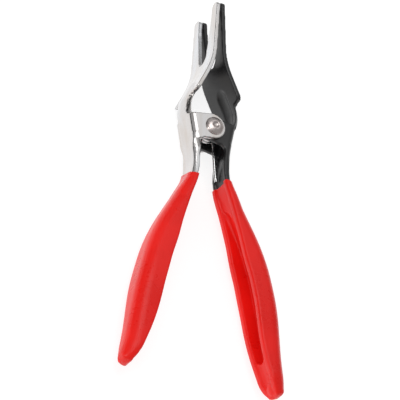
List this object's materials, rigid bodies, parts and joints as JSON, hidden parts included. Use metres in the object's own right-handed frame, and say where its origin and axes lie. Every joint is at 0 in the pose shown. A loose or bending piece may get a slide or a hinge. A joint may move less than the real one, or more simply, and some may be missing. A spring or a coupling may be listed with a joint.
{
  "type": "fork-jaw spreading pliers",
  "caption": "Hand pliers with a forked pressed-steel jaw on each half, a rivet pivot with a return spring and long dipped grips; squeezing spreads the jaws.",
  "frame": {"origin": "centre of the tool's outline in plan, at the height of the jaws' lower edges", "axes": "+X across the tool towards the dark half, +Y along it towards the jaw tips, +Z along the rivet"},
  "size_m": [0.0926, 0.2202, 0.0276],
  "materials": {
    "bright_steel": "bright nickel plate with fine press marks",
    "dark_steel": "satin black oxide",
    "rivet_steel": "bright formed steel",
    "spring_steel": "plain spring wire",
    "dipped_vinyl": "glossy red dip"
  },
  "bodies": {
    "left_half": {"left_lever": "bright_steel", "left_grip": "dipped_vinyl", "pivot_rivet": "rivet_steel", "return_spring": "spring_steel"},
    "right_half": {"right_lever": "dark_steel", "right_grip": "dipped_vinyl"}
  },
  "joints": [
    {"name": "pivot", "type": "hinge", "parent": "left_half", "child": "right_half", "pos_m": [0, 0.0345, 0.0138], "axis": [0, 0, -1], "range_deg": [0, 20], "stiffness_Nm_per_rad": 0.15, "springref_deg": -34.38, "deforming": ["return_spring"]}
  ]
}
